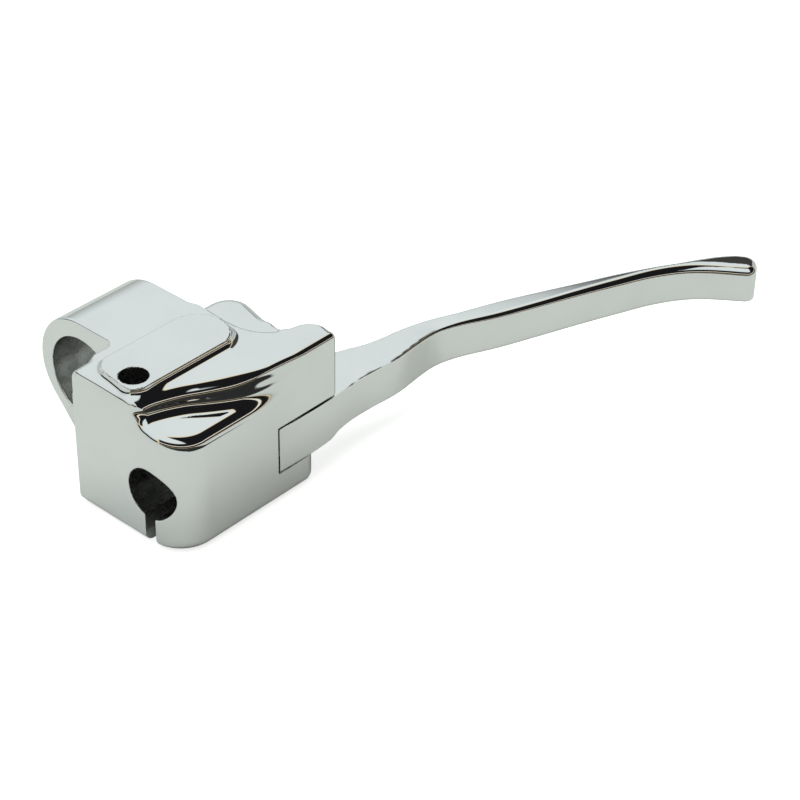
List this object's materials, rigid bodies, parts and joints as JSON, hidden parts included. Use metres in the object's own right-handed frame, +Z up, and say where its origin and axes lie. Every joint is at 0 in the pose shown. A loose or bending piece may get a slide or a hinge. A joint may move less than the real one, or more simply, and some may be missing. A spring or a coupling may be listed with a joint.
{
  "type": "clutch lever",
  "caption": "Polished billet clutch lever and perch: handlebar clamp block with a sculpted deck, and a curved finger lever that swings in its slot.",
  "frame": {"origin": "centre of the handlebar clamp bore", "axes": "+X along the handlebar towards the lever's tip, +Y towards the rider, +Z up"},
  "size_m": [0.2008, 0.1153, 0.0466],
  "materials": {
    "polished_alloy": "mirror polished billet",
    "lever_alloy": "mirror polished billet",
    "pivot_steel": "ground and plated",
    "washer_steel": "stamped and plated",
    "bush_bronze": "sintered bearing bronze",
    "anchor_steel": "turned steel",
    "clamp_screw_steel": "plated socket screws"
  },
  "bodies": {
    "perch": {"perch_body": "polished_alloy", "pivot_screw": "pivot_steel", "pivot_lock_washer": "washer_steel", "upper_thrust_washer": "washer_steel", "lower_thrust_washer": "washer_steel", "clamp_screws": "clamp_screw_steel", "clamp_washers": "washer_steel"},
    "lever": {"clutch_lever": "lever_alloy", "upper_pivot_bush": "bush_bronze", "lower_pivot_bush": "bush_bronze", "upper_anchor_bush": "bush_bronze", "lower_anchor_bush": "bush_bronze"},
    "cable_anchor": {"cable_anchor_barrel": "anchor_steel"}
  },
  "joints": [
    {"name": "lever_pivot", "type": "hinge", "parent": "perch", "child": "lever", "pos_m": [0.0175, -0.0235, -0.0093], "axis": [0, 0, 1], "range_deg": [0, 22]},
    {"name": "anchor_turn", "type": "hinge", "parent": "lever", "child": "cable_anchor", "pos_m": [0.016, -0.0421, -0.0093], "axis": [0, 0, 1], "range_deg": [-22, 0]}
  ],
  "couplings": [
    {"joint": "anchor_turn", "follows": "lever_pivot", "ratio": -1}
  ]
}
